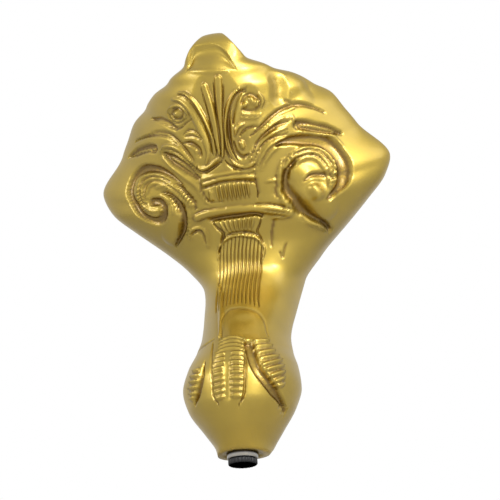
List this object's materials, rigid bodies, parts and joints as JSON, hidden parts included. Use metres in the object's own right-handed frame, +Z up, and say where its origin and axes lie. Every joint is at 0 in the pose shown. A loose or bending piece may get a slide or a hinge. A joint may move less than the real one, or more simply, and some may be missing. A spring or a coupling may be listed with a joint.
{
  "type": "claw and ball furniture foot",
  "caption": "Cast claw and ball foot with a carved, flaring shield, a fluted neck and a screwed leveller under the ball.",
  "frame": {"origin": "centre of the leveller pad's underside, on the floor", "axes": "+Z up through the leveller and the ball, the carved face looks along -Y, X runs across the wings"},
  "size_m": [0.1438, 0.0778, 0.203],
  "materials": {
    "satin_gold": "satin",
    "zinc_steel": "plated",
    "nickel": "bright",
    "black_nylon": "moulded"
  },
  "bodies": {
    "casting": {"foot_casting": "satin_gold"},
    "glide": {"leveller_cup": "nickel", "leveller_pad": "black_nylon"},
    "stud": {"leveller_stud": "zinc_steel"}
  },
  "joints": [
    {"name": "leveller_travel", "type": "slide", "parent": "casting", "child": "glide", "axis": [0, 0, -1], "range_m": [-0.002, 0.011]},
    {"name": "leveller_turn", "type": "hinge", "parent": "glide", "child": "stud", "pos_m": [0, 0, 0.003], "axis": [0, 0, -1], "range_deg": [-576.1, 3168.1]}
  ],
  "couplings": [
    {"joint": "leveller_turn", "follows": "leveller_travel", "rad_per_m": 5026.5}
  ]
}
